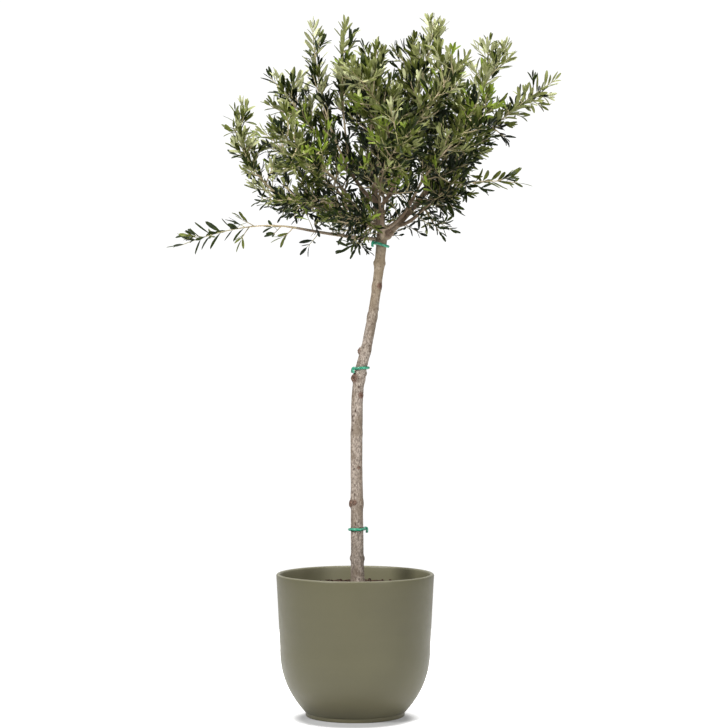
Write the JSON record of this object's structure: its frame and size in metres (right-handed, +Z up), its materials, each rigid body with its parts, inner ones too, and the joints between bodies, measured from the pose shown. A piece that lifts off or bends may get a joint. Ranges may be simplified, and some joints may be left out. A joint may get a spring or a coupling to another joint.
{
  "type": "potted olive tree",
  "caption": "Standard olive tree: a slender bare trunk under a loose open crown of narrow grey-green leaves, planted in a round-bottomed ceramic pot filled with soil.",
  "frame": {"origin": "centre of the pot's flat underside", "axes": "+Z up along the trunk, -Y towards the front, +X to the right seen from the front"},
  "size_m": [0.8713, 0.6036, 1.5592],
  "materials": {
    "glazed_pot": "matte khaki-grey glaze, slightly mottled",
    "soil": "dark crumbly potting soil",
    "bark": "pale grey-beige bark with small dark flecks",
    "tie": "soft glossy green tying tube",
    "foliage": "leathery grey-green leaves, silvery below"
  },
  "bodies": {
    "root": {"pot": "glazed_pot", "soil": "soil", "trunk": "bark", "bough_back": "bark", "bough_back_left": "bark", "bough_back_right": "bark", "bough_front": "bark", "bough_front_left": "bark", "bough_front_right": "bark", "bough_leader": "bark", "bough_left": "bark", "bough_low_left": "bark", "bough_low_right": "bark", "bough_right": "bark", "bough_upper_back": "bark", "bough_upper_front": "bark", "bough_upper_left": "bark", "bough_upper_right": "bark", "tie_lower": "tie", "tie_middle": "tie", "tie_upper": "tie", "foliage_back": "foliage", "foliage_back_left": "foliage", "foliage_back_right": "foliage", "foliage_far_right": "foliage", "foliage_front": "foliage", "foliage_front_left": "foliage", "foliage_front_right": "foliage", "foliage_left_side": "foliage", "foliage_left_upper": "foliage", "foliage_low_back": "foliage", "foliage_low_back_left": "foliage", "foliage_low_back_right": "foliage", "foliage_low_front": "foliage", "foliage_low_front_left": "foliage", "foliage_low_front_right": "foliage", "foliage_low_left": "foliage", "foliage_low_right": "foliage", "foliage_right_upper": "foliage", "foliage_top": "foliage", "foliage_top_back": "foliage", "foliage_top_left": "foliage", "foliage_top_middle": "foliage", "foliage_top_right": "foliage", "foliage_upper_back": "foliage", "foliage_upper_back_right": "foliage", "foliage_upper_front": "foliage", "foliage_upper_front_right": "foliage"}
  },
  "joints": []
}
